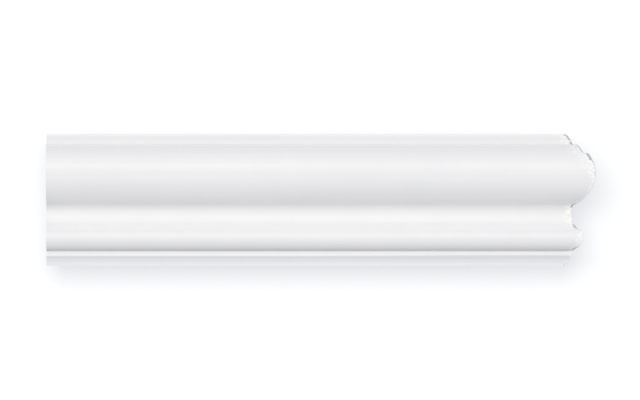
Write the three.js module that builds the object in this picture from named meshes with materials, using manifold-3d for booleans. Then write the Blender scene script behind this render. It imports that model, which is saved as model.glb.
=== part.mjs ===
// Casing moulding: one length of profiled trim, cut square at one end and mitred at the other.
// Millimetres. +X runs along the moulding, +Z up the wall, and the face looks towards -Y.
// The flat back lies on the plane y = 0, with the origin in the middle of it.
import * as THREE from "three";
import { mergeVertices } from "three/addons/utils/BufferGeometryUtils.js";
import Module from "manifold-3d";

// The whole length
const casingWidth = 88.9; // from the lower edge to the upper edge
const casingThickness = 27; // from the wall to the crest of the torus
const longPoint = 370; // from the square end to the tip of the mitre
const mitreDegrees = 45; // the end leans back from the face at this angle

// The section. A depth is measured from the wall and a height from the lower edge.
const lowerLip = { depth: 7.4, height: 0.9, foot: 7.2 }; // the lip leans back a little to its foot
const cavetto = { radius: 18, startTilt: 23 }; // hollow above the lower lip
const lowerFillet = { depth: 11.2, height: 6.4 };
const bead = { height: 19.9, crest: 19, lowerRadius: 9.9, upperRadius: 5.2 };
const beadSlope = 45; // degrees that the flat above the bead leans back
const beadCove = 5.5; // radius of the hollow between that flat and the neck
const neck = { height: 35.7, depth: 10.9, radius: 19 };
const torusFoot = 6.5; // radius of the hollow between neck and torus
const torus = { height: 63.2, lowerRadius: 24.2, upperRadius: 21.6, top: 81.7 };
const upperFillet = { height: 81.75, depth: 12.7, rise: 3.2, fall: 1.8 };
const upperStep = { rise: 1.4, fall: 1 };
const upperEdge = { depth: 8.2, radius: 9 }; // small ovolo that ends at the upper edge

// Breaks along the long edge of the mitre, each cut by a six-sided prism, corner first. Height is that
// of the corner, bite is how far it goes back along the run, size is the width of the prism's sides,
// and aim is the way that the break opens: 0 degrees along the run, 90 degrees up.
const breakLean = 28; // degrees that a break leans from the line of sight
const breaks = [
  { height: 76.4, bite: 5.9, size: 6.6, aim: 56 },
  { height: 83.6, bite: 1.6, size: 2, aim: 30 },
  { height: 88.2, bite: 2.2, size: 2.4, aim: 50 },
  { height: 71.2, bite: 0.9, size: 1.6, aim: 10 },
  { height: 41, bite: 1.1, size: 1.4, aim: -30 },
  { height: 26.2, bite: 1.5, size: 1.7, aim: 35 },
  { height: 11.6, bite: 1.9, size: 2.1, aim: -35 },
  { height: 0.8, bite: 2, size: 2.2, aim: -50 },
];

const arcSteps = 5; // sets how finely the arcs of the section are cut into flats
const samePlace = 0.001; // points closer than this are one point

const wasm = await Module();
wasm.setup();

const radians = THREE.MathUtils.degToRad;

// A point of the section is (y, z) on the part, so a depth counts towards -Y.
function place(depth, height) {
  return new THREE.Vector2(-depth, height - casingWidth / 2);
}

// Where two circles cross. Of the two places, the one nearer the wall is given.
function crossing(a, radiusA, b, radiusB) {
  const apart = b.clone().sub(a);
  const distance = apart.length();
  const along = (distance ** 2 + radiusA ** 2 - radiusB ** 2) / (2 * distance);
  const aside = Math.sqrt(radiusA ** 2 - along ** 2);
  const forward = apart.divideScalar(distance);
  const sideways = new THREE.Vector2(-forward.y, forward.x).multiplyScalar(aside);
  const middle = a.clone().addScaledVector(forward, along);
  const first = middle.clone().add(sideways);
  const second = middle.clone().sub(sideways);
  return first.x > second.x ? first : second;
}

// Where a line meets a circle, going the way of the line. The line starts inside the circle.
function lineToCircle(start, way, centre, radius) {
  const apart = start.clone().sub(centre);
  const half = apart.dot(way);
  const distance = Math.sqrt(half ** 2 - apart.lengthSq() + radius ** 2) - half;
  return start.clone().addScaledVector(way, distance);
}

// An arc of the section from one place to the other, about a centre.
function arcTo(shape, centre, radius, from, to, hollow) {
  const start = from.clone().sub(centre).angle();
  const end = to.clone().sub(centre).angle();
  shape.absarc(centre.x, centre.y, radius, start, end, !hollow);
}

function towards(from, to, distance) {
  return from.clone().add(to.clone().sub(from).setLength(distance));
}

function sectionShape() {
  const lipTop = place(lowerLip.depth, lowerLip.height);
  const tilt = radians(cavetto.startTilt);
  const reach = new THREE.Vector2(-Math.cos(tilt), -Math.sin(tilt));
  const cavettoCentre = lipTop.clone().addScaledVector(reach, cavetto.radius);
  const filletHeight = place(0, lowerFillet.height).y;
  const cavettoRise = filletHeight - cavettoCentre.y;
  const cavettoRun = Math.sqrt(cavetto.radius ** 2 - cavettoRise ** 2);
  const cavettoTop = new THREE.Vector2(cavettoCentre.x + cavettoRun, filletHeight);

  const lowerBead = place(bead.crest - bead.lowerRadius, bead.height);
  const upperBead = place(bead.crest - bead.upperRadius, bead.height);
  const beadCrest = place(bead.crest, bead.height);
  const filletFace = place(lowerFillet.depth, 0).x;
  const beadDrop = Math.sqrt(bead.lowerRadius ** 2 - (filletFace - lowerBead.x) ** 2);
  const quirk = new THREE.Vector2(filletFace, lowerBead.y - beadDrop);

  const neckCentre = place(neck.depth + neck.radius, neck.height);
  const slope = radians(beadSlope);
  const outward = new THREE.Vector2(-Math.cos(slope), Math.sin(slope));
  const upward = new THREE.Vector2(Math.sin(slope), Math.cos(slope));
  const beadTop = upperBead.clone().addScaledVector(outward, bead.upperRadius);
  const coveCentre = lineToCircle(
    beadTop.clone().addScaledVector(outward, beadCove), upward, neckCentre, neck.radius - beadCove);
  const coveStart = coveCentre.clone().addScaledVector(outward, -beadCove);
  const coveEnd = towards(neckCentre, coveCentre, neck.radius);

  const lowerTorus = place(casingThickness - torus.lowerRadius, torus.height);
  const upperTorus = place(casingThickness - torus.upperRadius, torus.height);
  const crest = place(casingThickness, torus.height);
  const footCentre = crossing(
    lowerTorus, torus.lowerRadius + torusFoot, neckCentre, neck.radius - torusFoot);
  const footStart = towards(neckCentre, footCentre, neck.radius);
  const footEnd = towards(lowerTorus, footCentre, torus.lowerRadius);
  const torusRise = torus.top - torus.height;
  const torusRun = Math.sqrt(torus.upperRadius ** 2 - torusRise ** 2);
  const torusTop = new THREE.Vector2(upperTorus.x - torusRun, upperTorus.y + torusRise);

  const filletStart = place(upperFillet.depth, upperFillet.height);
  const filletEnd = filletStart.clone().add(
    new THREE.Vector2(upperFillet.fall, upperFillet.rise));
  const stepTop = filletEnd.clone().add(new THREE.Vector2(upperStep.fall, upperStep.rise));
  const edge = place(upperEdge.depth, casingWidth);
  const ovoloMiddle = stepTop.clone().lerp(edge, 0.5);
  const halfChord = stepTop.distanceTo(edge) / 2;
  const inward = new THREE.Vector2(edge.y - stepTop.y, stepTop.x - edge.x).normalize();
  const sag = Math.sqrt(upperEdge.radius ** 2 - halfChord ** 2);
  const ovoloCentre = ovoloMiddle.addScaledVector(inward, sag);

  const shape = new THREE.Shape();
  shape.moveTo(0, place(0, 0).y);
  shape.lineTo(-lowerLip.foot, place(0, 0).y);
  shape.lineTo(lipTop.x, lipTop.y);
  arcTo(shape, cavettoCentre, cavetto.radius, lipTop, cavettoTop, true);
  shape.lineTo(filletFace, filletHeight);
  shape.lineTo(quirk.x, quirk.y);
  arcTo(shape, lowerBead, bead.lowerRadius, quirk, beadCrest, false);
  arcTo(shape, upperBead, bead.upperRadius, beadCrest, beadTop, false);
  shape.lineTo(coveStart.x, coveStart.y);
  arcTo(shape, coveCentre, beadCove, coveStart, coveEnd, true);
  arcTo(shape, neckCentre, neck.radius, coveEnd, footStart, true);
  arcTo(shape, footCentre, torusFoot, footStart, footEnd, true);
  arcTo(shape, lowerTorus, torus.lowerRadius, footEnd, crest, false);
  arcTo(shape, upperTorus, torus.upperRadius, crest, torusTop, false);
  shape.lineTo(filletStart.x, filletStart.y);
  shape.lineTo(filletEnd.x, filletEnd.y);
  shape.lineTo(stepTop.x, stepTop.y);
  arcTo(shape, ovoloCentre, upperEdge.radius, stepTop, edge, false);
  shape.lineTo(0, place(0, casingWidth).y);
  shape.closePath();
  return shape;
}

// The section as a ring of points. Where two arcs meet, the place that both hold is kept once.
function sectionPoints() {
  const points = [];
  for (const point of sectionShape().getPoints(arcSteps)) {
    const last = points.at(-1);
    if (!last || last.distanceTo(point) > samePlace) {
      points.push(point);
    }
  }
  return points;
}

// Depth of the face at a height, read off the points of the section.
function faceDepth(points, height) {
  const level = place(0, height).y;
  let depth = 0;
  for (let i = 1; i < points.length; i += 1) {
    const a = points[i - 1];
    const b = points[i];
    if (b.y > a.y && level >= a.y && level <= b.y) {
      const share = (level - a.y) / (b.y - a.y);
      depth = Math.max(depth, -(a.x + share * (b.x - a.x)));
    }
  }
  return depth;
}

function toManifold(geometry) {
  const bare = new THREE.BufferGeometry();
  bare.setAttribute("position", geometry.getAttribute("position"));
  bare.setIndex(geometry.getIndex());
  const merged = mergeVertices(bare, samePlace / 10);
  const mesh = new wasm.Mesh({
    numProp: 3,
    vertProperties: new Float32Array(merged.getAttribute("position").array),
    triVerts: new Uint32Array(merged.getIndex().array),
  });
  return new wasm.Manifold(mesh);
}

function toGeometry(manifold) {
  const mesh = manifold.getMesh();
  const geometry = new THREE.BufferGeometry();
  geometry.setAttribute("position", new THREE.BufferAttribute(mesh.vertProperties, 3));
  geometry.setIndex(new THREE.BufferAttribute(mesh.triVerts, 1));
  const flat = geometry.toNonIndexed();
  flat.computeVertexNormals();
  return flat;
}

const lean = Math.tan(radians(mitreDegrees));
const backLength = longPoint - casingThickness * lean;
const squareEnd = -backLength / 2;
const mitreBack = backLength / 2;

// The run before its end is mitred. The section's own x, y and depth become +Y, +Z and +X.
function run() {
  const geometry = new THREE.ExtrudeGeometry(new THREE.Shape(sectionPoints()), {
    depth: longPoint,
    bevelEnabled: false,
  });
  geometry.rotateY(Math.PI / 2);
  geometry.rotateX(Math.PI / 2);
  geometry.translate(squareEnd, 0, 0);
  return toManifold(geometry);
}

// A block beyond the mitre, with one side on the plane of the cut.
function mitreBlock() {
  const size = 4 * casingWidth;
  const geometry = new THREE.BoxGeometry(size, size, size);
  geometry.translate(size / 2, 0, 0);
  geometry.rotateZ(Math.PI / 2 - radians(mitreDegrees));
  geometry.translate(mitreBack, 0, 0);
  return toManifold(geometry);
}

function breakCutter(points, one) {
  const depth = faceDepth(points, one.height);
  const aim = radians(one.aim);
  const leaning = radians(breakLean);
  const geometry = new THREE.CylinderGeometry(one.size, one.size, 6 * one.size, 6);
  geometry.rotateY(Math.PI / 6 - aim);
  geometry.rotateZ(-leaning);
  geometry.translate(
    mitreBack + depth * lean - one.bite + (one.size * Math.cos(aim)) / Math.cos(leaning),
    -depth,
    one.height - casingWidth / 2 + one.size * Math.sin(aim),
  );
  return toManifold(geometry);
}

function casingMoulding() {
  const points = sectionPoints();
  let solid = run().subtract(mitreBlock());
  for (const one of breaks) {
    solid = solid.subtract(breakCutter(points, one));
  }
  const primer = new THREE.MeshStandardMaterial({
    name: "primer_white",
    color: 0xeeeef0,
    roughness: 0.6,
    metalness: 0,
  });
  const mesh = new THREE.Mesh(toGeometry(solid), primer);
  mesh.name = "casing_moulding";
  return mesh;
}

const part = new THREE.Group();
part.name = "casing_moulding_length";
part.add(casingMoulding());

export default part;
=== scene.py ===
import math

import bpy
import numpy as np
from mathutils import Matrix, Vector, noise


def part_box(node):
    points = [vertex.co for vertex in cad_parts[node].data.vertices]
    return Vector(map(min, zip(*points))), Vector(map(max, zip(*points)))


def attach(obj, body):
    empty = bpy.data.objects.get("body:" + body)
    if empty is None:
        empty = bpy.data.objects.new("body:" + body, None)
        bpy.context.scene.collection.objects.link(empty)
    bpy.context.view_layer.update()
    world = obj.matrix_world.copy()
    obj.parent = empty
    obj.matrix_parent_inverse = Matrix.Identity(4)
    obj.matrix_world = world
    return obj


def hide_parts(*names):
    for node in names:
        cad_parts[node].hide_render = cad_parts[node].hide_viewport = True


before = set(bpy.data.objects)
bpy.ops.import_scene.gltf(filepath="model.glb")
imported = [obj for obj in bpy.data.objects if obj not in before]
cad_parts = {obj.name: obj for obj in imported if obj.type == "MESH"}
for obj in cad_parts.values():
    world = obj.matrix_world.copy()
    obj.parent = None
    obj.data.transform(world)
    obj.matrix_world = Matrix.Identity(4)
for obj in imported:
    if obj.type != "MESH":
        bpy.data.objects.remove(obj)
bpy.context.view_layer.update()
mm = 0.001
nodeName = "casing_moulding"
low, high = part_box(nodeName)
print("frame loaded, moulding", [round((b - a) / mm, 1) for a, b in zip(low, high)], "mm")


# Section of the moulding, in millimetres: depth out from the wall, height up from the lower edge
section = {
    "width": (high[2] - low[2]) / mm,
    "thickness": (high[1] - low[1]) / mm,
    "lipDepth": 7.4,
    "lipHeight": 0.9,
    "lipFoot": 7.2,  # the lip leans back a little to its foot
    "cavettoRadius": 18.0,
    "cavettoTilt": 23.0,  # degrees that the hollow starts at
    "filletDepth": 11.2,
    "filletHeight": 6.4,
    "beadHeight": 19.9,
    "beadCrest": 19.0,
    "beadLower": 9.9,  # radius under the crest
    "beadUpper": 5.2,  # radius over the crest
    "beadSlope": 45.0,  # degrees that the slope above the bead leans back
    "beadCove": 5.5,
    "neckHeight": 35.7,
    "neckDepth": 10.9,
    "neckRadius": 19.0,
    "torusFoot": 6.5,
    "torusHeight": 63.2,
    "torusLower": 24.2,
    "torusUpper": 21.6,
    "torusTop": 81.7,
    "upperFilletHeight": 81.75,
    "upperFilletDepth": 12.7,
    "upperFilletRise": 3.2,
    "upperFilletFall": 1.8,
    "stepRise": 1.4,
    "stepFall": 1.0,
    "edgeDepth": 8.2,
    "edgeRadius": 9.0,
    "arrisEase": 0.36,  # how far the primer softens an arris
    "fineStep": 0.04,
    "longestStep": 0.7,
    "sharpestTurn": 7.0,  # degrees between two neighbouring flats
}


def point(depth, height):
    return np.array([depth, height], dtype=float)


def towards(start, end, distance):
    way = end - start
    return start + way / np.linalg.norm(way) * distance


def crossing(a, radiusA, b, radiusB):
    apart = b - a
    distance = np.linalg.norm(apart)
    along = (distance**2 + radiusA**2 - radiusB**2) / (2 * distance)
    aside = math.sqrt(radiusA**2 - along**2)
    forward = apart / distance
    sideways = np.array([-forward[1], forward[0]]) * aside
    places = [a + forward * along + sideways, a + forward * along - sideways]
    return min(places, key=lambda place: place[0])  # the place nearer the wall


def lineToCircle(start, way, centre, radius):
    apart = start - centre
    half = apart @ way
    return start + way * (math.sqrt(half**2 - apart @ apart + radius**2) - half)


def lineRun(start, end, step):
    count = max(2, math.ceil(np.linalg.norm(end - start) / step))
    shares = np.linspace(0.0, 1.0, count, endpoint=False)[:, None]
    return start + (end - start) * shares


def arcRun(centre, start, end, step):
    first = math.atan2(*(start - centre)[::-1])
    sweep = math.atan2(*(end - centre)[::-1]) - first
    sweep = (sweep + math.pi) % (2 * math.pi) - math.pi  # every arc here is under half a turn
    radius = np.linalg.norm(start - centre)
    count = max(2, math.ceil(abs(sweep) * radius / step))
    angles = first + sweep * np.linspace(0.0, 1.0, count, endpoint=False)
    return centre + radius * np.column_stack([np.cos(angles), np.sin(angles)])


def fineOutline(s):
    step = s["fineStep"]
    lowerEdge = point(s["lipFoot"], 0.0)
    lipTop = point(s["lipDepth"], s["lipHeight"])
    tilt = math.radians(s["cavettoTilt"])
    cavetto = lipTop + s["cavettoRadius"] * np.array([math.cos(tilt), -math.sin(tilt)])
    cavettoRun = math.sqrt(s["cavettoRadius"] ** 2 - (s["filletHeight"] - cavetto[1]) ** 2)
    cavettoTop = point(cavetto[0] - cavettoRun, s["filletHeight"])
    filletFoot = point(s["filletDepth"], s["filletHeight"])

    lowerBead = point(s["beadCrest"] - s["beadLower"], s["beadHeight"])
    upperBead = point(s["beadCrest"] - s["beadUpper"], s["beadHeight"])
    beadCrest = point(s["beadCrest"], s["beadHeight"])
    drop = math.sqrt(s["beadLower"] ** 2 - (s["filletDepth"] - lowerBead[0]) ** 2)
    quirk = point(s["filletDepth"], lowerBead[1] - drop)

    neck = point(s["neckDepth"] + s["neckRadius"], s["neckHeight"])
    slope = math.radians(s["beadSlope"])
    outward = np.array([math.cos(slope), math.sin(slope)])
    upward = np.array([-math.sin(slope), math.cos(slope)])
    beadTop = upperBead + outward * s["beadUpper"]
    cove = lineToCircle(
        beadTop + outward * s["beadCove"], upward, neck, s["neckRadius"] - s["beadCove"])
    coveStart = cove - outward * s["beadCove"]
    coveEnd = towards(neck, cove, s["neckRadius"])

    lowerTorus = point(s["thickness"] - s["torusLower"], s["torusHeight"])
    upperTorus = point(s["thickness"] - s["torusUpper"], s["torusHeight"])
    torusCrest = point(s["thickness"], s["torusHeight"])
    foot = crossing(
        lowerTorus, s["torusLower"] + s["torusFoot"], neck, s["neckRadius"] - s["torusFoot"])
    footStart = towards(neck, foot, s["neckRadius"])
    footEnd = towards(lowerTorus, foot, s["torusLower"])
    rise = s["torusTop"] - s["torusHeight"]
    torusTop = upperTorus + np.array([math.sqrt(s["torusUpper"] ** 2 - rise**2), rise])

    upperFillet = point(s["upperFilletDepth"], s["upperFilletHeight"])
    upperFilletTop = upperFillet + np.array([-s["upperFilletFall"], s["upperFilletRise"]])
    stepTop = upperFilletTop + np.array([-s["stepFall"], s["stepRise"]])
    upperEdge = point(s["edgeDepth"], s["width"])
    chord = upperEdge - stepTop
    inward = np.array([-chord[1], chord[0]]) / np.linalg.norm(chord)
    sag = math.sqrt(s["edgeRadius"] ** 2 - (np.linalg.norm(chord) / 2) ** 2)
    ovolo = (stepTop + upperEdge) / 2 + inward * sag

    return np.vstack([
        lineRun(lowerEdge, lipTop, step),
        arcRun(cavetto, lipTop, cavettoTop, step),
        lineRun(cavettoTop, filletFoot, step),
        lineRun(filletFoot, quirk, step),
        arcRun(lowerBead, quirk, beadCrest, step),
        arcRun(upperBead, beadCrest, beadTop, step),
        lineRun(beadTop, coveStart, step),
        arcRun(cove, coveStart, coveEnd, step),
        arcRun(neck, coveEnd, footStart, step),
        arcRun(foot, footStart, footEnd, step),
        arcRun(lowerTorus, footEnd, torusCrest, step),
        arcRun(upperTorus, torusCrest, torusTop, step),
        lineRun(torusTop, upperFillet, step),
        lineRun(upperFillet, upperFilletTop, step),
        lineRun(upperFilletTop, stepTop, step),
        arcRun(ovolo, stepTop, upperEdge, step),
        [upperEdge],
    ])


def softened(outline, ease, step):
    reach = math.ceil(3 * ease / step)
    weights = np.exp(-0.5 * (np.arange(-reach, reach + 1) * step / ease) ** 2)
    weights /= weights.sum()
    soft = outline.copy()
    for axis in (0, 1):
        soft[reach:-reach, axis] = np.convolve(outline[:, axis], weights, "valid")
    return soft


def thinned(outline, longestStep, sharpestTurn):
    steps = np.linalg.norm(np.diff(outline, axis=0), axis=1)
    ways = np.unwrap(np.arctan2(*np.diff(outline, axis=0).T[::-1]))
    turns = np.abs(np.diff(ways, prepend=ways[0]))
    cost = np.concatenate([[0.0], np.cumsum(steps / longestStep + turns / math.radians(sharpestTurn))])
    wanted = np.linspace(0.0, cost[-1], math.ceil(cost[-1]) + 1)
    return np.column_stack([np.interp(wanted, cost, outline[:, axis]) for axis in (0, 1)])


def facePoints(s):
    soft = softened(fineOutline(s), s["arrisEase"], s["fineStep"])
    return thinned(soft, s["longestStep"], s["sharpestTurn"])


face = facePoints(section)
print("section drawn,", len(face), "points up the face")


# Nodes and sockets
def wire(tree, socket, value):
    if isinstance(value, bpy.types.NodeSocket):
        tree.links.new(value, socket)
    else:
        socket.default_value = value


def addNode(tree, kind, settings=None, **inputs):
    node = tree.nodes.new(kind)
    for key, value in (settings or {}).items():
        setattr(node, key, value)
    for key, value in inputs.items():
        wire(tree, node.inputs[key.replace("_", " ")], value)
    return node


def maths(tree, operation, *values):
    node = addNode(tree, "ShaderNodeMath", {"operation": operation})
    for socket, value in zip(node.inputs, values):
        wire(tree, socket, value)
    return node.outputs[0]


def mapRange(tree, value, fromLow, fromHigh, toLow, toHigh):
    node = addNode(tree, "ShaderNodeMapRange")
    for socket, given in zip(node.inputs, (value, fromLow, fromHigh, toLow, toHigh)):
        wire(tree, socket, given)
    return node.outputs[0]


def newGroup(kind, name, inputs, outputs):
    tree = bpy.data.node_groups.new(name, kind)
    for label, socketType, default in inputs:
        socket = tree.interface.new_socket(label, in_out="INPUT", socket_type=socketType)
        if default is not None:
            socket.default_value = default
    for label, socketType in outputs:
        tree.interface.new_socket(label, in_out="OUTPUT", socket_type=socketType)
    return tree, tree.nodes.new("NodeGroupInput"), tree.nodes.new("NodeGroupOutput")


# Shader groups that the finishes share
def lengthStreaks():
    tree, given, made = newGroup(
        "ShaderNodeTree", "lengthStreaks",
        [
            ("Along", "NodeSocketFloat", 6.0),
            ("Across", "NodeSocketFloat", 400.0),
            ("Softness", "NodeSocketFloat", 0.5),
        ],
        [("Streak", "NodeSocketFloat")],
    )
    where = addNode(tree, "ShaderNodeTexCoord")
    stretch = addNode(tree, "ShaderNodeCombineXYZ")
    wire(tree, stretch.inputs["X"], given.outputs["Along"])
    wire(tree, stretch.inputs["Y"], given.outputs["Across"])
    wire(tree, stretch.inputs["Z"], given.outputs["Across"])
    scaled = addNode(tree, "ShaderNodeVectorMath", {"operation": "MULTIPLY"})
    wire(tree, scaled.inputs[0], where.outputs["Object"])
    wire(tree, scaled.inputs[1], stretch.outputs[0])
    grain = addNode(tree, "ShaderNodeTexNoise", Vector=scaled.outputs[0], Scale=1.0, Detail=4.0)
    wire(tree, grain.inputs["Roughness"], given.outputs["Softness"])
    wire(tree, made.inputs["Streak"], grain.outputs["Fac"])
    return tree


def mottle():
    tree, given, made = newGroup(
        "ShaderNodeTree", "mottle",
        [
            ("Scale", "NodeSocketFloat", 40.0),
            ("Contrast", "NodeSocketFloat", 0.25),
        ],
        [("Mottle", "NodeSocketFloat")],
    )
    where = addNode(tree, "ShaderNodeTexCoord")
    cloud = addNode(tree, "ShaderNodeTexNoise", Vector=where.outputs["Object"], Detail=5.0, Roughness=0.6)
    wire(tree, cloud.inputs["Scale"], given.outputs["Scale"])
    lowEnd = maths(tree, "SUBTRACT", 0.5, given.outputs["Contrast"])
    highEnd = maths(tree, "ADD", 0.5, given.outputs["Contrast"])
    wire(tree, made.inputs["Mottle"], mapRange(tree, cloud.outputs["Fac"], lowEnd, highEnd, 0.0, 1.0))
    return tree


sharedLooks = {"streaks": lengthStreaks(), "mottle": mottle()}


def useGroup(tree, name, **inputs):
    node = tree.nodes.new("ShaderNodeGroup")
    node.node_tree = sharedLooks[name]
    for key, value in inputs.items():
        wire(tree, node.inputs[key], value)
    return node.outputs[0]


def newMaterial(name):
    material = bpy.data.materials.new(name)
    material.use_nodes = True
    tree = material.node_tree
    return material, tree, tree.nodes["Principled BSDF"]


def blendColour(tree, share, first, second, mode="MIX"):
    node = addNode(tree, "ShaderNodeMix", {"data_type": "RGBA", "blend_type": mode})
    wire(tree, node.inputs[0], share)
    wire(tree, node.inputs[6], first)
    wire(tree, node.inputs[7], second)
    return node.outputs[2]


def readAttribute(tree, name):
    return addNode(tree, "ShaderNodeAttribute", {"attribute_name": name}).outputs["Fac"]


primer = {
    # the shaded and the lit ends of the painted light and shade up the face
    "shadedPrimer": (0.702, 0.698, 0.702, 1.0),
    "litPrimer": (0.934, 0.928, 0.931, 1.0),
    "streakTint": (0.965, 0.966, 0.970, 1.0),
    "bareCore": (0.885, 0.883, 0.866, 1.0),
    # painted shade in the pits of the bare core
    "pitShade": (0.650, 0.652, 0.645, 1.0),
    # painted shade on the broken facets at the mitre
    "paintedShade": (0.470, 0.475, 0.467, 1.0),
    "streakAlong": 5.0,
    "streakAcross": 420.0,
    "broadAlong": 11.0,
    "broadAcross": 90.0,
    "cloudScale": 34.0,
    "cloudContrast": 0.3,
    "streakShare": 0.5,
    "broadShare": 0.3,
    "thinFrom": 0.38,
    "thinTo": 0.78,
    "patchScale": 55.0,
    "patchContrast": 0.25,
    "patchShare": 0.14,
    "bareFade": 0.34,  # how fast the bare core gives way to primer
    "bareFrom": 0.26,
    "bareTo": 0.52,
    "bandEnd": 0.7,
    "pitFrom": 0.52,
    "pitTo": 0.66,
    "pitShare": 0.6,
    "crumbScale": 430.0,
    "crumbHeight": 0.00012,
    "pitScale": 1050.0,
    "roughest": 0.62,
    "smoothest": 0.46,
    "streakHeight": 0.00004,
    "stippleHeight": 0.00002,
    "stippleScale": 1500.0,
}


def primerSkin(p):
    material, tree, shader = newMaterial("primer_skin")
    streak = useGroup(tree, "streaks", Along=p["streakAlong"], Across=p["streakAcross"])
    longStreak = useGroup(tree, "streaks", Along=p["broadAlong"], Across=p["broadAcross"])
    cloud = useGroup(tree, "mottle", Scale=p["cloudScale"], Contrast=p["cloudContrast"])
    broad = maths(tree, "MULTIPLY", maths(tree, "ADD", longStreak, cloud), p["broadShare"])
    thin = maths(tree, "MULTIPLY_ADD", streak, p["streakShare"], broad)
    thinShare = mapRange(tree, thin, p["thinFrom"], p["thinTo"], 0.0, 1.0)
    where = addNode(tree, "ShaderNodeTexCoord").outputs["Object"]
    # painted light and shade up the face, a blend between the shaded and the lit primer
    lightShare = readAttribute(tree, "paintedShading")
    body = blendColour(tree, lightShare, p["shadedPrimer"], p["litPrimer"])
    paintedShading = blendColour(tree, thinShare, body, p["streakTint"], "MULTIPLY")

    # Bare core with crumbs and pits, close to the broken edge; the pits get painted shade
    crumbs = addNode(
        tree, "ShaderNodeTexNoise", Vector=where, Scale=p["crumbScale"], Detail=4.0, Roughness=0.62)
    pits = addNode(tree, "ShaderNodeTexNoise", Vector=where, Scale=p["pitScale"], Detail=1.0)
    spread = useGroup(tree, "mottle", Scale=p["patchScale"], Contrast=p["patchContrast"])
    patchy = maths(tree, "MULTIPLY_ADD", spread, p["patchShare"], crumbs.outputs["Fac"])
    edge = readAttribute(tree, "edge")
    fromEdge = maths(tree, "MULTIPLY_ADD", edge, -p["bareFade"], patchy)
    inBand = mapRange(tree, edge, p["bandEnd"], 1.0, 1.0, 0.0)
    laidBare = mapRange(tree, fromEdge, p["bareFrom"], p["bareTo"], 0.0, 1.0)
    bare = maths(tree, "MULTIPLY", laidBare, inBand)
    hollow = mapRange(tree, pits.outputs["Fac"], p["pitFrom"], p["pitTo"], 0.0, p["pitShare"])
    pitShadeShare = maths(tree, "MULTIPLY", hollow, bare)
    # painted shade on the broken facets at the mitre
    paintedShade = readAttribute(tree, "paintedShade")
    colour = blendColour(tree, bare, paintedShading, p["bareCore"])
    colour = blendColour(tree, pitShadeShare, colour, p["pitShade"])
    wire(tree, shader.inputs["Base Color"], blendColour(tree, paintedShade, colour, p["paintedShade"]))
    sheen = mapRange(tree, cloud, 0.0, 1.0, p["smoothest"], p["roughest"])
    wire(tree, shader.inputs["Roughness"], maths(tree, "MAXIMUM", sheen, bare))
    stipple = addNode(tree, "ShaderNodeTexNoise", Vector=where, Scale=p["stippleScale"], Detail=2.0)
    lines = maths(tree, "MULTIPLY", streak, p["streakHeight"])
    grain = maths(tree, "MULTIPLY_ADD", stipple.outputs["Fac"], p["stippleHeight"], lines)
    loose = maths(tree, "MULTIPLY", crumbs.outputs["Fac"], bare)
    crumble = maths(tree, "MULTIPLY", loose, p["crumbHeight"])
    relief = maths(tree, "ADD", grain, crumble)
    bump = addNode(tree, "ShaderNodeBump", Strength=1.0, Distance=1.0, Height=relief)
    wire(tree, shader.inputs["Normal"], bump.outputs["Normal"])
    return material


sawn = {
    "core": (0.775, 0.772, 0.755, 1.0),
    "scorched": (0.690, 0.684, 0.662, 1.0),
    "cellScale": 900.0,
    "cellHeight": 0.00008,
    "bladeRadius": 0.127,
    "scoreSpacing": 0.0012,
    "scoreHeight": 0.00006,
    "bladeOut": 0.6,  # where the blade's centre lay, in radii
    "bladeUp": 0.8,
    "wanderScale": 120.0,
    "wanderContrast": 0.3,
    "scoreWander": 1.3,
    "patchScale": 60.0,
    "patchContrast": 0.22,
    "scoreShade": 0.5,
    "evenShade": 0.3,
    "roughness": 0.85,
}


def sawnCore(p):
    material, tree, shader = newMaterial("sawn_core")
    where = addNode(tree, "ShaderNodeTexCoord")
    parts = addNode(tree, "ShaderNodeSeparateXYZ", Vector=where.outputs["Object"])
    across = maths(tree, "ADD", parts.outputs["Y"], p["bladeRadius"] * p["bladeOut"])
    up = maths(tree, "SUBTRACT", parts.outputs["Z"], p["bladeRadius"] * p["bladeUp"])
    acrossSquared = maths(tree, "POWER", across, 2.0)
    upSquared = maths(tree, "POWER", up, 2.0)
    sweep = maths(tree, "SQRT", maths(tree, "ADD", acrossSquared, upSquared))
    wander = useGroup(tree, "mottle", Scale=p["wanderScale"], Contrast=p["wanderContrast"])
    turns = maths(tree, "MULTIPLY", sweep, 2 * math.pi / p["scoreSpacing"])
    phase = maths(tree, "MULTIPLY_ADD", wander, p["scoreWander"], turns)
    score = maths(tree, "MULTIPLY_ADD", maths(tree, "SINE", phase), 0.5, 0.5)
    cells = addNode(tree, "ShaderNodeTexVoronoi", Vector=where.outputs["Object"], Scale=p["cellScale"])
    patch = useGroup(tree, "mottle", Scale=p["patchScale"], Contrast=p["patchContrast"])
    scored = maths(tree, "MULTIPLY_ADD", score, p["scoreShade"], p["evenShade"])
    shade = maths(tree, "MULTIPLY", scored, patch)
    wire(tree, shader.inputs["Base Color"], blendColour(tree, shade, p["core"], p["scorched"]))
    shader.inputs["Roughness"].default_value = p["roughness"]
    pits = maths(tree, "MULTIPLY", cells.outputs["Distance"], p["cellHeight"])
    relief = maths(tree, "MULTIPLY_ADD", score, p["scoreHeight"], pits)
    bump = addNode(tree, "ShaderNodeBump", Strength=1.0, Distance=1.0, Height=relief)
    wire(tree, shader.inputs["Normal"], bump.outputs["Normal"])
    return material


plain = {
    "paint": (0.785, 0.785, 0.795, 1.0),
    "bare": (0.660, 0.656, 0.642, 1.0),
    "ribHeight": 0.00010,
    "ribAlong": 4.0,
    "ribAcross": 260.0,
    "cloudScale": 16.0,
    "cloudContrast": 0.2,
    "ribShade": 0.8,
    "evenShade": 0.1,
    "smoothest": 0.62,
    "roughest": 0.8,
}


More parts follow.
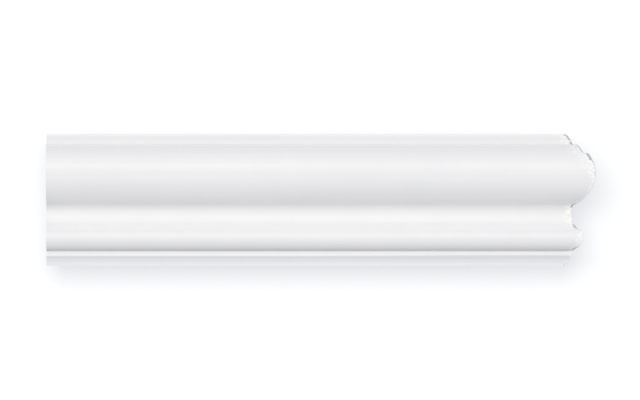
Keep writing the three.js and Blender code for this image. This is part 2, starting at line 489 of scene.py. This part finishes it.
def plainBack(p):
    material, tree, shader = newMaterial("plain_back")
    ribs = useGroup(tree, "streaks", Along=p["ribAlong"], Across=p["ribAcross"])
    cloud = useGroup(tree, "mottle", Scale=p["cloudScale"], Contrast=p["cloudContrast"])
    ribbed = maths(tree, "MULTIPLY_ADD", ribs, p["ribShade"], p["evenShade"])
    share = maths(tree, "MULTIPLY", ribbed, cloud)
    wire(tree, shader.inputs["Base Color"], blendColour(tree, share, p["paint"], p["bare"]))
    wire(tree, shader.inputs["Roughness"], mapRange(tree, cloud, 0.0, 1.0, p["smoothest"], p["roughest"]))
    relief = maths(tree, "MULTIPLY", ribs, p["ribHeight"])
    bump = addNode(tree, "ShaderNodeBump", Strength=1.0, Distance=1.0, Height=relief)
    wire(tree, shader.inputs["Normal"], bump.outputs["Normal"])
    return material


finishes = {"skin": primerSkin(primer), "core": sawnCore(sawn), "back": plainBack(plain)}
print("finishes made:", ", ".join(material.name for material in finishes.values()))


# The moulding itself: a block whose rows follow the section and whose end leans back with the mitre
run = {
    "stations": 112,
    "tipStations": 0.7,  # share of the stations before the fine stretch at the mitre
    "tipLength": 15.0 * mm,
    "coreRows": 15,
    "rowCrowding": 1.7,
    "mitreSlope": 1.0,
    "ripple": 0.05 * mm,
    "rippleScale": 9.0,
    "seed": 7,
    "sharpAngle": 38.0,
}
squareEnd = low[0]
mitreBack = high[0] - section["thickness"] * mm * run["mitreSlope"]
backLength = mitreBack - squareEnd


def sectionObject(points):
    verts = [(0.0, -depth * mm, height * mm + low[2]) for depth, height in points]
    edges = [(i, i + 1) for i in range(len(verts) - 1)]
    mesh = bpy.data.meshes.new(nodeName + "_run")
    mesh.from_pydata(verts, edges, [])
    made = bpy.data.objects.new(nodeName + "_run", mesh)
    bpy.context.scene.collection.objects.link(made)
    return made


def runTree():
    tree, given, made = newGroup(
        "GeometryNodeTree", "casingRun",
        [
            ("Section", "NodeSocketGeometry", None),
            ("Section Points", "NodeSocketInt", 2),
            ("Stations", "NodeSocketInt", 2),
            ("Core Rows", "NodeSocketInt", 2),
            ("Square End", "NodeSocketFloat", 0.0),
            ("Back Length", "NodeSocketFloat", 1.0),
            ("Mitre Slope", "NodeSocketFloat", 1.0),
            ("Tip Start", "NodeSocketFloat", 0.8),
            ("Tip Length", "NodeSocketFloat", 0.01),
            ("Row Crowding", "NodeSocketFloat", 1.0),
            ("Ripple", "NodeSocketFloat", 0.0),
            ("Ripple Scale", "NodeSocketFloat", 1.0),
            ("Seed", "NodeSocketFloat", 0.0),
            ("Skin", "NodeSocketMaterial", None),
            ("Core", "NodeSocketMaterial", None),
            ("Back", "NodeSocketMaterial", None),
        ],
        [("Moulding", "NodeSocketGeometry")],
    )
    value = given.outputs
    block = addNode(tree, "GeometryNodeMeshCube", Size=(1.0, 1.0, 1.0))
    wire(tree, block.inputs["Vertices X"], value["Stations"])
    wire(tree, block.inputs["Vertices Y"], value["Core Rows"])
    wire(tree, block.inputs["Vertices Z"], value["Section Points"])
    position = addNode(tree, "GeometryNodeInputPosition").outputs[0]
    where = addNode(tree, "ShaderNodeSeparateXYZ", Vector=position)
    along = maths(tree, "ADD", where.outputs["X"], 0.5)
    outward = maths(tree, "SUBTRACT", 0.5, where.outputs["Y"])
    up = maths(tree, "ADD", where.outputs["Z"], 0.5)

    # Column of the block to point of the section
    last = maths(tree, "SUBTRACT", value["Section Points"], 1.0)
    index = maths(tree, "ROUND", maths(tree, "MULTIPLY", up, last))
    sample = addNode(tree, "GeometryNodeSampleIndex", {"data_type": "FLOAT_VECTOR", "domain": "POINT"})
    wire(tree, sample.inputs["Geometry"], value["Section"])
    wire(tree, sample.inputs["Value"], position)
    wire(tree, sample.inputs["Index"], index)
    onFace = addNode(tree, "ShaderNodeSeparateXYZ", Vector=sample.outputs[0])

    # Row of the block to depth, closest together under the face
    inner = maths(tree, "POWER", maths(tree, "SUBTRACT", 1.0, outward), value["Row Crowding"])
    share = maths(tree, "SUBTRACT", 1.0, inner)
    ripple = addNode(tree, "ShaderNodeTexNoise", {"noise_dimensions": "4D"}, Detail=2.0)
    wire(tree, ripple.inputs["Vector"], position)
    wire(tree, ripple.inputs["Scale"], value["Ripple Scale"])
    wire(tree, ripple.inputs["W"], value["Seed"])
    swell = maths(tree, "MULTIPLY", maths(tree, "SUBTRACT", ripple.outputs["Fac"], 0.5), value["Ripple"])
    faceY = maths(tree, "ADD", onFace.outputs["Y"], swell)
    across = maths(tree, "MULTIPLY", faceY, share)

    # Station of the block to place along the run, closest together at the mitre
    offWall = maths(tree, "MULTIPLY", across, -1.0)
    reach = maths(tree, "MULTIPLY_ADD", offWall, value["Mitre Slope"], value["Back Length"])
    plainPart = maths(tree, "SUBTRACT", reach, value["Tip Length"])
    before = mapRange(tree, along, 0.0, value["Tip Start"], 0.0, plainPart)
    after = mapRange(tree, along, value["Tip Start"], 1.0, 0.0, value["Tip Length"])
    lengthwise = maths(tree, "ADD", maths(tree, "ADD", before, after), value["Square End"])

    place = addNode(tree, "ShaderNodeCombineXYZ", X=lengthwise, Y=across, Z=onFace.outputs["Z"])
    shaped = addNode(
        tree, "GeometryNodeSetPosition", Geometry=block.outputs["Mesh"], Position=place.outputs[0])

    # Finish by the way a face looks
    normal = addNode(tree, "GeometryNodeInputNormal").outputs[0]
    way = addNode(tree, "ShaderNodeSeparateXYZ", Vector=normal)
    isCut = maths(tree, "GREATER_THAN", maths(tree, "ABSOLUTE", way.outputs["X"]), 0.5)
    isBack = maths(tree, "GREATER_THAN", way.outputs["Y"], 0.9)
    real = addNode(tree, "GeometryNodeRealizeInstances", Geometry=shaped.outputs[0])
    skinned = addNode(tree, "GeometryNodeSetMaterial", Geometry=real.outputs[0], Material=value["Skin"])
    cut = addNode(
        tree, "GeometryNodeSetMaterial",
        Geometry=skinned.outputs[0], Selection=isCut, Material=value["Core"])
    backed = addNode(
        tree, "GeometryNodeSetMaterial",
        Geometry=cut.outputs[0], Selection=isBack, Material=value["Back"])
    wire(tree, made.inputs["Moulding"], backed.outputs[0])
    return tree


def setInputs(modifier, **values):
    sockets = modifier.node_group.interface.items_tree
    names = {item.name: item.identifier for item in sockets if item.in_out == "INPUT"}
    for key, value in values.items():
        modifier[names[key.replace("_", " ")]] = value


def mouldingRun(points, r):
    start = sectionObject(points)
    modifier = start.modifiers.new("run", "NODES")
    modifier.node_group = runTree()
    setInputs(
        modifier,
        Section_Points=len(points),
        Stations=r["stations"],
        Core_Rows=r["coreRows"],
        Square_End=squareEnd,
        Back_Length=backLength,
        Mitre_Slope=r["mitreSlope"],
        Tip_Start=r["tipStations"],
        Tip_Length=r["tipLength"],
        Row_Crowding=r["rowCrowding"],
        Ripple=r["ripple"],
        Ripple_Scale=r["rippleScale"],
        Seed=float(r["seed"]),
        Skin=finishes["skin"],
        Core=finishes["core"],
        Back=finishes["back"],
    )
    depsgraph = bpy.context.evaluated_depsgraph_get()
    mesh = bpy.data.meshes.new_from_object(start.evaluated_get(depsgraph), depsgraph=depsgraph)
    bpy.data.objects.remove(start)
    mesh.name = "casing_length"
    made = bpy.data.objects.new("casing_length", mesh)
    bpy.context.scene.collection.objects.link(made)
    return made


# The long edge of the mitre is broken and ragged: millimetres, and degrees from the line of sight
breakage = {
    "breakLean": 28.0,
    "unshadedLean": 15.0,
    "shadedLean": 72.0,
    "raggedness": 1.1,  # turns per millimetre
    "roughness": 0.16,
    "crumble": 0.14,  # how far the face has crumbled close to the edge
    "crumbRate": 0.9,
    "crumbShare": 0.15,
    "grainUp": 1.7,
    "grainAcross": 2.3,
    "breakSpread": 60.0,  # half the angle of a break's corner
    "coarseShare": 0.7,
    "fineShare": 0.4,
    "fineRate": 3,
    "evenWear": 0.95,
    "leastWear": 0.15,
    "chipSteadiness": 0.6,
    "faceTouch": 0.06,  # points this close to the face or the cut lie on it
    "cutTouch": 0.01,
    "backStrip": 0.5,
    # the shade value of each break and chip is painted shade on its facets, and also sets how far it
    # leans back
    "breaks": [
        {"height": 76.4, "bite": 5.9, "size": 6.6, "aim": 56, "paintedShade": 0.0},
        {"height": 83.6, "bite": 0.9, "size": 2.0, "aim": 30, "paintedShade": 0.3},
        {"height": 88.2, "bite": 2.2, "size": 2.4, "aim": 50, "paintedShade": 0.25},
        {"height": 71.2, "bite": 0.9, "size": 1.6, "aim": 10, "paintedShade": 0.9},
        {"height": 41.0, "bite": 1.1, "size": 1.4, "aim": -30, "paintedShade": 0.8},
        {"height": 26.2, "bite": 1.5, "size": 1.7, "aim": 35, "paintedShade": 0.8},
        {"height": 11.6, "bite": 1.9, "size": 2.1, "aim": -35, "paintedShade": 0.55},
        {"height": 0.8, "bite": 2.0, "size": 2.2, "aim": -50, "paintedShade": 0.0},
    ],
    "wear": 0.55,  # width of the worn arris between the chips
    "wearShade": 0.03,
    "chipEnds": 0.8,  # length over which a chip runs out
    "chips": [
        {"from": 10.6, "to": 13.0, "width": 1.6, "paintedShade": 0.58},
        {"from": 24.9, "to": 28.2, "width": 2.5, "paintedShade": 0.8},
        {"from": 39.3, "to": 42.0, "width": 2.2, "paintedShade": 0.85},
        {"from": 61.0, "to": 70.2, "width": 0.8, "paintedShade": 0.45},
        {"from": 70.9, "to": 75.9, "width": 3.0, "paintedShade": 1.0},
        {"from": 81.7, "to": 83.6, "width": 3.1, "paintedShade": 1.0},
        {"from": 84.6, "to": 88.3, "width": 2.3, "paintedShade": 0.88},
    ],
    "bareWidth": 2.0,  # how far the primer has come off the face
    "bareBands": [
        {"from": 11.0, "to": 43.0, "soft": 5.0, "width": 6.0},
        {"from": 61.0, "to": 88.0, "soft": 12.0, "width": 10.5},
    ],
}


def within(height, band, soft):
    rise = np.clip((height - band["from"]) / soft + 0.5, 0.0, 1.0)
    fall = np.clip((band["to"] - height) / soft + 0.5, 0.0, 1.0)
    return np.minimum(rise, fall)


def faceDepth(heights):
    return np.interp(heights, face[:, 1], face[:, 0])


def ragged(heights, scale, lane):
    return np.array([noise.noise(Vector((h * scale, lane, 0.5))) for h in heights])


def breakShape(heights, b):
    arris = faceDepth(heights)
    worn = np.full(len(heights), b["wear"])
    paintedShade = np.full(len(heights), b["wearShade"])
    for chip in b["chips"]:
        share = within(heights, chip, b["chipEnds"])
        worn += (chip["width"] - b["wear"]) * share
        paintedShade += (chip["paintedShade"] - b["wearShade"]) * share
    coarse = ragged(heights, b["raggedness"], 3.7)
    fine = ragged(heights, b["fineRate"] * b["raggedness"], 8.1)
    uneven = b["coarseShare"] * coarse + b["fineShare"] * fine
    worn *= np.clip(b["evenWear"] + uneven * (1 - b["chipSteadiness"] * paintedShade), b["leastWear"], None)
    unshadedSlant = math.tan(math.radians(b["unshadedLean"]))
    shadedSlant = math.tan(math.radians(b["shadedLean"]))
    deep = worn / (run["mitreSlope"] + unshadedSlant + (shadedSlant - unshadedSlant) * paintedShade)
    for one in b["breaks"]:
        offset = heights - one["height"]
        above = math.radians(one["aim"] + b["breakSpread"])
        below = math.radians(one["aim"] - b["breakSpread"])
        slant = np.where(offset >= 0, 1 / math.tan(above), 1 / math.tan(below))
        corner = faceDepth(np.array([one["height"]]))[0] - one["bite"]
        bite = arris - (corner + offset * slant)
        gone = bite / (run["mitreSlope"] + math.tan(math.radians(b["breakLean"])))
        inside = (offset < one["size"] * math.sin(above)) & (offset > one["size"] * math.sin(below))
        deeper = inside & (gone > deep)
        deep = np.where(deeper, gone, deep)
        paintedShade = np.where(deeper, np.maximum(paintedShade, one["paintedShade"]), paintedShade)
    # Breaks with painted shade lean back into view, unshaded ones hardly show
    reach = deep * (run["mitreSlope"] + unshadedSlant + (shadedSlant - unshadedSlant) * paintedShade)
    return reach, deep, paintedShade


def setAttribute(mesh, name, values):
    mesh.attributes.new(name, "FLOAT", "POINT").data.foreach_set("value", values)


def breakMitre(made, b):
    mesh = made.data
    coords = np.empty(len(mesh.vertices) * 3)
    mesh.vertices.foreach_get("co", coords)
    coords = coords.reshape(-1, 3)
    depth = -coords[:, 1] / mm
    height = (coords[:, 2] - low[2]) / mm
    toMitre = (mitreBack - coords[:, 0]) / mm + depth * run["mitreSlope"]
    near = np.flatnonzero((toMitre < run["tipLength"] / mm) & (depth > b["backStrip"]))
    depthNear, heightNear, toMitreNear = depth[near], height[near], toMitre[near]
    arris = faceDepth(heightNear)
    under = np.clip(arris - depthNear, 0.0, None)
    reach, deep, shadeNear = breakShape(heightNear, b)
    bareWidth = np.full(len(near), b["bareWidth"])
    for band in b["bareBands"]:
        bareWidth += (band["width"] - b["bareWidth"]) * within(heightNear, band, band["soft"])
    fromBreak = np.clip((toMitreNear - reach) / bareWidth, 0.0, 1.0)
    edge = np.ones(len(mesh.vertices))
    edge[near] = fromBreak
    setAttribute(mesh, "edge", edge)
    onFace = under < b["faceTouch"]
    onCut = (toMitreNear < b["cutTouch"]) & ~onFace
    share = np.where(onFace, 0.5 * (1 - toMitreNear / reach), 0.5 + 0.5 * under / deep)

    # The broken strip, from the face (share 0) to the cut (share 1)
    picked = np.flatnonzero((onFace & (toMitreNear < reach)) | (onCut & (under < deep)))
    s = share[picked]
    spots = [Vector((heightNear[i] * b["grainUp"], share[i] * b["grainAcross"], 5.0)) for i in picked]
    rough = np.array([noise.noise(spot) for spot in spots])
    rough *= b["roughness"] * np.minimum(1.0, reach[picked]) * np.sin(np.pi * s)
    coords[near[picked], 0] = mitreBack + mm * (
        arris[picked] * run["mitreSlope"] - reach[picked] * (1 - s) - deep[picked] * s + rough)
    coords[near[picked], 1] = -mm * (arris[picked] - s * deep[picked] + rough)

    # The face behind the strip has lost crumbs
    behind = np.flatnonzero(onFace & (toMitreNear >= reach) & (fromBreak < 1.0))
    rate = b["crumbRate"]
    spots = [Vector((toMitreNear[i] * rate, heightNear[i] * rate, 2.0)) for i in behind]
    crumbs = np.array([noise.noise(spot) for spot in spots])
    lost = b["crumble"] * np.clip(crumbs + b["crumbShare"], 0.0, None) * (1 - fromBreak[behind])
    coords[near[behind], 1] += mm * lost
    mesh.vertices.foreach_set("co", coords.ravel())

    # painted shade on the broken strip at the mitre
    paintedShade = np.zeros(len(mesh.vertices))
    paintedShade[near[picked]] = shadeNear[picked]
    setAttribute(mesh, "paintedShade", paintedShade)
    broken = np.zeros(len(mesh.vertices), dtype=bool)
    broken[near[picked]] = True
    skinSlot = mesh.materials.find(finishes["skin"].name)
    for polygon in mesh.polygons:
        if all(broken[index] for index in polygon.vertices):
            polygon.material_index = skinSlot
    mesh.update()
    return len(picked)


# Painted light and shade in bands up the face, for how the light falls on each part of the profile: 1 is
# lightest, heights in millimetres from the lower edge
shadingBands = {
    "even": 0.435,
    "bands": [
        {"from": 0.8, "to": 1.8, "soft": 0.5, "paintedShading": 0.58},
        {"from": 1.2, "to": 5.6, "soft": 1.2, "paintedShading": 0.61},
        {"from": 6.6, "to": 7.7, "soft": 0.6, "paintedShading": 0.0, "start": 5.0, "full": 125.0},
        {"from": 9.0, "to": 11.3, "soft": 0.9, "paintedShading": 0.10},
        {"from": 23.0, "to": 28.0, "soft": 3.0, "paintedShading": 0.60},
        {"from": 35.0, "to": 41.0, "soft": 3.0, "paintedShading": 0.27},
        {"from": 41.8, "to": 43.6, "soft": 1.0, "paintedShading": 0.54},
        {"from": 60.6, "to": 65.2, "soft": 1.4, "paintedShading": 0.37},
        {"from": 66.2, "to": 69.6, "soft": 1.6, "paintedShading": 0.49},
        {"from": 78.6, "to": 80.5, "soft": 1.4, "paintedShading": 0.56},
        {"from": 80.8, "to": 82.1, "soft": 0.6, "paintedShading": 0.93},
        {"from": 87.9, "to": 88.9, "soft": 0.6, "paintedShading": 0.80},
    ],
}


def paintShading(made, p):
    mesh = made.data
    coords = np.empty(len(mesh.vertices) * 3)
    mesh.vertices.foreach_get("co", coords)
    along = coords[0::3] / mm
    height = (coords[2::3] - low[2]) / mm
    paintedShading = np.full(len(height), p["even"])
    for band in p["bands"]:
        share = within(height, band, band["soft"])
        if "start" in band:  # comes in along the run
            share *= np.clip((along - band["start"]) / (band["full"] - band["start"]), 0.0, 1.0)
        paintedShading += (band["paintedShading"] - p["even"]) * share
    setAttribute(mesh, "paintedShading", paintedShading)


casing = mouldingRun(face, run)
# painted light and shade in bands up the face
paintShading(casing, shadingBands)
brokenCount = breakMitre(casing, breakage)
for polygon in casing.data.polygons:
    polygon.use_smooth = True
casing.data.set_sharp_from_angle(angle=math.radians(run["sharpAngle"]))
print("run made,", len(casing.data.polygons), "faces,", brokenCount, "points broken at the mitre")


# Backdrop, floor, light and camera
studio = {
    "wallGap": 24 * mm,
    "wallSize": 6.0,
    "floorDrop": 0.30,
    "coveRadius": 0.12,
    "paper": (0.49, 0.49, 0.49, 1.0),
    "paperGlow": 0.507,
    "paperGlowColour": (0.994, 1.004, 1.030, 1.0),
    "worldColour": (0.932, 0.956, 1.0, 1.0),
    "worldStrength": 0.563,
    "lights": {
        "key": {"place": (-0.70, -5.2, 1.3), "size": 3.4, "power": 177.5, "colour": (1.0, 0.984, 0.953)},
        "fill": {"place": (1.5, -2.4, -0.25), "size": 1.2, "power": 3.0, "colour": (1.0, 1.0, 1.0)},
    },
    "lens": 500.0,
    "sensor": 36.0,
    "imageColumns": 640,
    "mouldingRows": 132,  # rows of the image that the moulding fills
    "shiftColumns": 1,
}


def paperMaterial(s):
    material, tree, shader = newMaterial("backdrop_paper")
    shader.inputs["Base Color"].default_value = s["paper"]
    shader.inputs["Roughness"].default_value = 1.0
    shader.inputs["Specular IOR Level"].default_value = 0.0
    shader.inputs["Emission Color"].default_value = s["paperGlowColour"]
    shader.inputs["Emission Strength"].default_value = s["paperGlow"]
    clear = addNode(tree, "ShaderNodeBsdfTransparent")
    facing = addNode(tree, "ShaderNodeNewGeometry")
    mix = addNode(tree, "ShaderNodeMixShader")
    wire(tree, mix.inputs[0], facing.outputs["Backfacing"])
    wire(tree, mix.inputs[1], shader.outputs[0])
    wire(tree, mix.inputs[2], clear.outputs[0])
    output = tree.nodes["Material Output"]
    wire(tree, output.inputs["Surface"], mix.outputs[0])
    return material


def backdrop(s):
    half = s["wallSize"] / 2
    bend = s["coveRadius"]
    floorLevel = -s["floorDrop"]
    wallY = s["wallGap"]
    outline = [(wallY, half), (wallY, floorLevel + bend)]
    for i in range(1, 16):
        turn = math.pi / 2 * i / 16
        outline.append((wallY - bend * (1 - math.cos(turn)), floorLevel + bend * (1 - math.sin(turn))))
    outline += [(wallY - bend, floorLevel), (-half, floorLevel)]
    verts = [(x, y, z) for y, z in outline for x in (-half, half)]
    faces = [(2 * i, 2 * i + 2, 2 * i + 3, 2 * i + 1) for i in range(len(outline) - 1)]
    mesh = bpy.data.meshes.new("backdrop")
    mesh.from_pydata(verts, [], faces)
    mesh.materials.append(paperMaterial(s))
    for polygon in mesh.polygons:
        polygon.use_smooth = True
    made = bpy.data.objects.new("backdrop", mesh)
    bpy.context.scene.collection.objects.link(made)
    made.visible_diffuse = False
    made.visible_glossy = False
    made.visible_shadow = False
    return made


def aim(made, target):
    made.rotation_euler = (Vector(target) - made.location).to_track_quat("-Z", "Y").to_euler()


def lights(s):
    world = bpy.data.worlds.new("studio")
    world.use_nodes = True
    glow = world.node_tree.nodes["Background"]
    glow.inputs["Color"].default_value = s["worldColour"]
    glow.inputs["Strength"].default_value = s["worldStrength"]
    bpy.context.scene.world = world
    for name, lamp in s["lights"].items():
        data = bpy.data.lights.new(name, "AREA")
        data.shape = "SQUARE"
        data.size = lamp["size"]
        data.energy = lamp["power"]
        data.color = lamp["colour"]
        made = bpy.data.objects.new(name, data)
        made.location = lamp["place"]
        bpy.context.scene.collection.objects.link(made)
        aim(made, (0.0, 0.0, 0.0))


def camera(s):
    data = bpy.data.cameras.new("camera")
    data.lens = s["lens"]
    data.sensor_width = s["sensor"]
    made = bpy.data.objects.new("camera", data)
    column = section["width"] * mm / s["mouldingRows"]  # one column of the image, at the moulding
    distance = s["imageColumns"] * column * s["lens"] / s["sensor"]
    middle = (low[0] + high[0]) / 2 - s["shiftColumns"] * column
    made.location = (middle, -distance - section["thickness"] * mm / 2, 0.0)
    data.clip_end = 4 * distance
    bpy.context.scene.collection.objects.link(made)
    aim(made, (middle, 0.0, 0.0))
    bpy.context.scene.camera = made


backdrop(studio)
lights(studio)
camera(studio)
bpy.context.scene.view_settings.view_transform = "Standard"
print("studio set")

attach(casing, "root")
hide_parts(nodeName)
